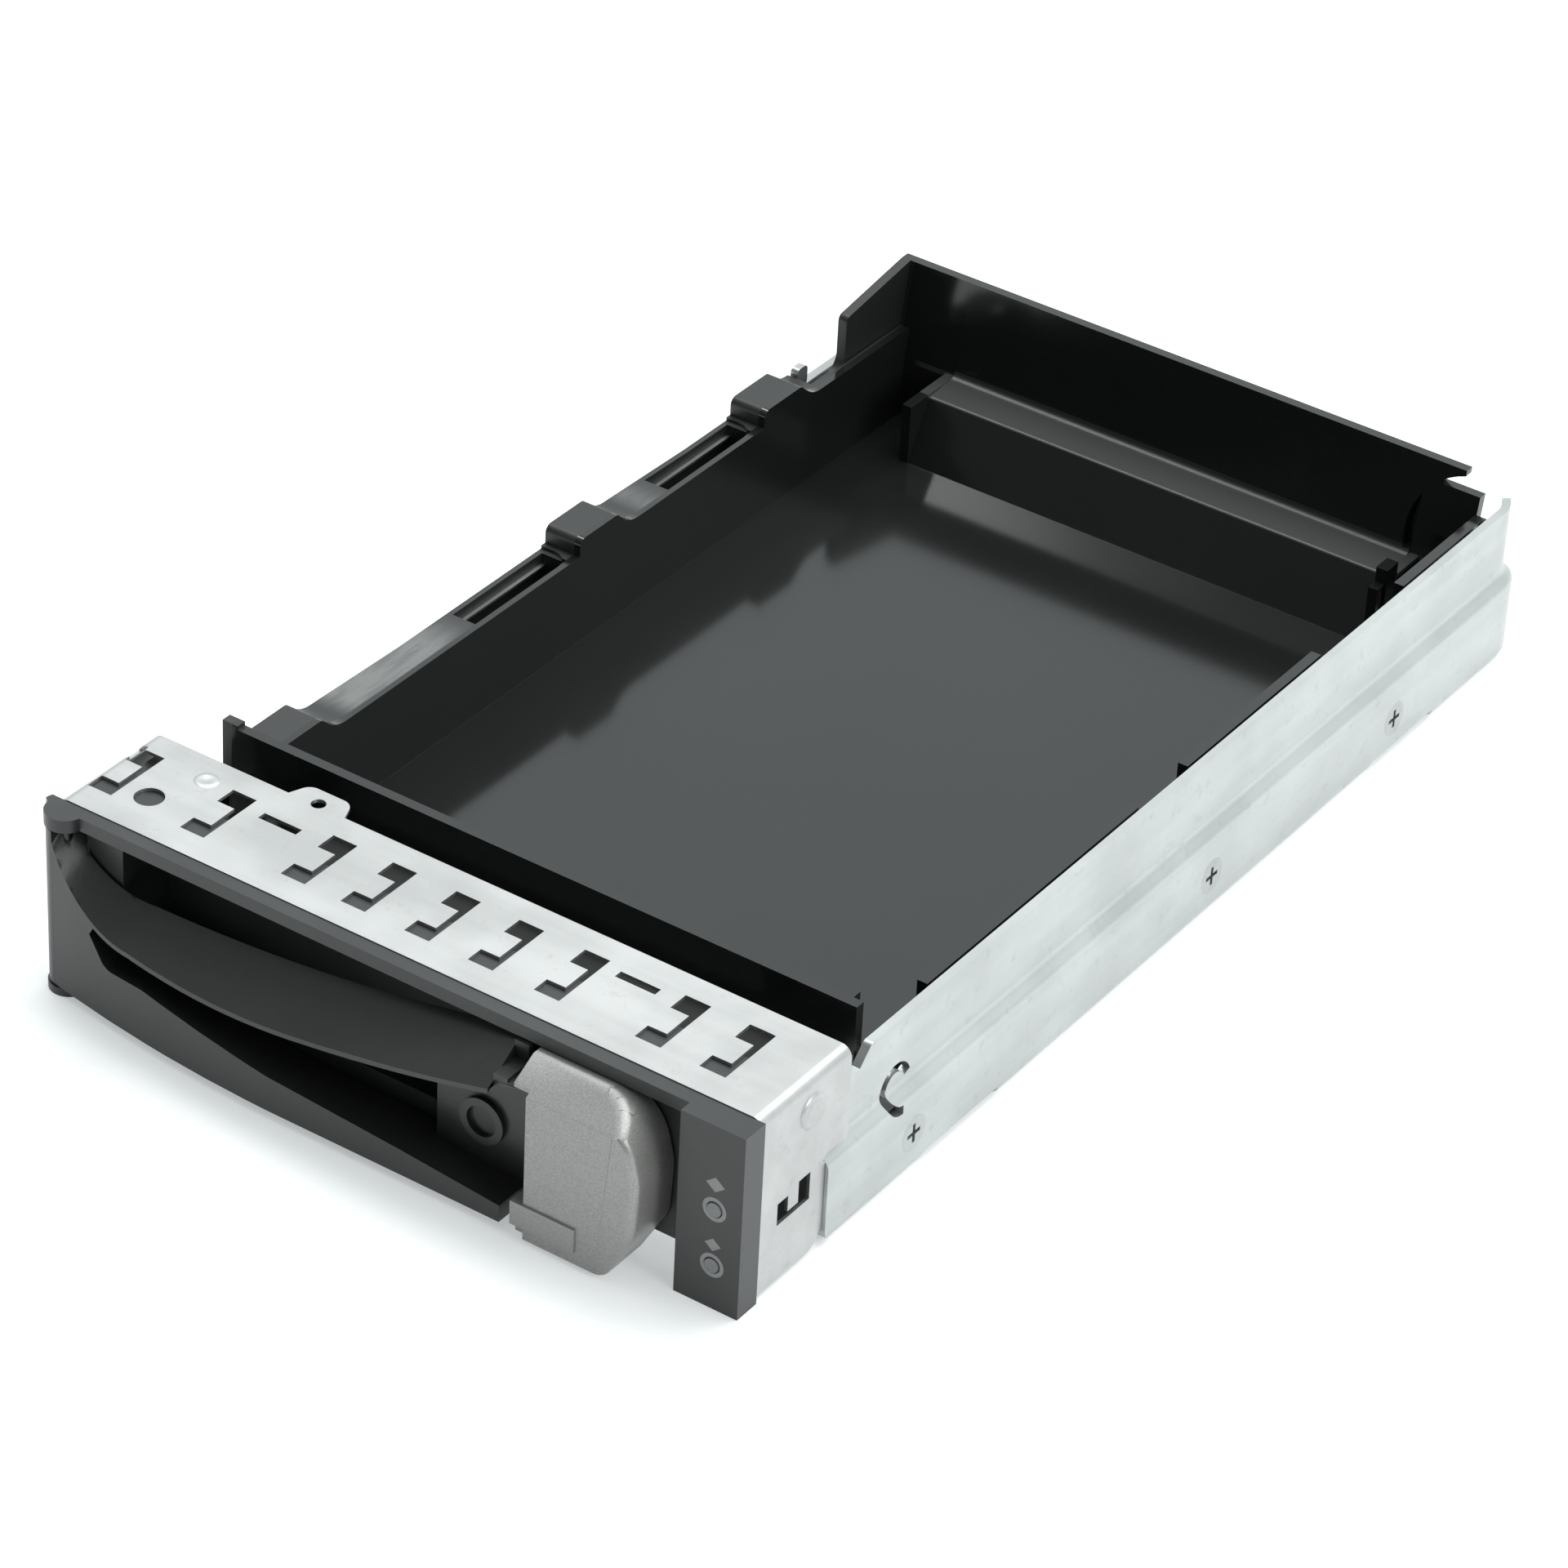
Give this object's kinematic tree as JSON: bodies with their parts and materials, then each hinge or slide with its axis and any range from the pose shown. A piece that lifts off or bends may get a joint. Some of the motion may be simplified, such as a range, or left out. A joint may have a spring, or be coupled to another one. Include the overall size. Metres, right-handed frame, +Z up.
{
  "type": "hot swap drive caddy",
  "caption": "Hot swap drive caddy with a moulded drive blank between steel side rails, a perforated spring-finger shield, a bowed lever that swings out and a sliding silver latch.",
  "frame": {"origin": "centre of the footprint, on the surface that the rails stand on", "axes": "+X to the right seen from the front, +Y from the front lever to the rear end, +Z up"},
  "size_m": [0.1098, 0.1942, 0.0273],
  "materials": {
    "rail_steel": "zinc-plated sheet steel, satin",
    "shield_steel": "bright stamped sheet steel",
    "bezel_plastic": "fine-textured dark grey moulding",
    "blank_plastic": "black moulding, semi-gloss walls and a matt floor",
    "lever_plastic": "fine-textured dark grey moulding",
    "latch_silver": "satin silver paint on plastic",
    "pin_steel": "ground steel",
    "spring_steel": "spring steel wire",
    "light_pipe": "clear moulded light guide",
    "screw_steel": "zinc-plated"
  },
  "bodies": {
    "carrier": {"right_rail": "rail_steel", "left_rail": "rail_steel", "emi_shield": "shield_steel", "front_bezel": "bezel_plastic", "drive_blank": "blank_plastic", "lever_pivot_pin": "pin_steel", "lever_spring": "spring_steel", "latch_spring": "spring_steel", "light_pipe_upper": "light_pipe", "light_pipe_lower": "light_pipe", "blank_screw_left_front": "screw_steel", "blank_screw_left_middle": "screw_steel", "blank_screw_left_rear": "screw_steel", "blank_screw_right_front": "screw_steel", "blank_screw_right_middle": "screw_steel", "blank_screw_right_rear": "screw_steel", "bezel_screw_left_front": "screw_steel", "bezel_screw_left_rear": "screw_steel", "bezel_screw_right_front": "screw_steel", "bezel_screw_right_rear": "screw_steel"},
    "lever": {"lever": "lever_plastic"},
    "latch": {"latch": "latch_silver"}
  },
  "joints": [
    {"name": "lever_hinge", "type": "hinge", "parent": "carrier", "child": "lever", "pos_m": [-0.0513, -0.09, 0.013], "axis": [0, 0, -1], "range_deg": [0, 50]},
    {"name": "latch_slide", "type": "slide", "parent": "carrier", "child": "latch", "axis": [1, 0, 0], "range_m": [0, 0.0025], "stiffness_N_per_m": 300, "deforming": ["latch_spring"]}
  ]
}
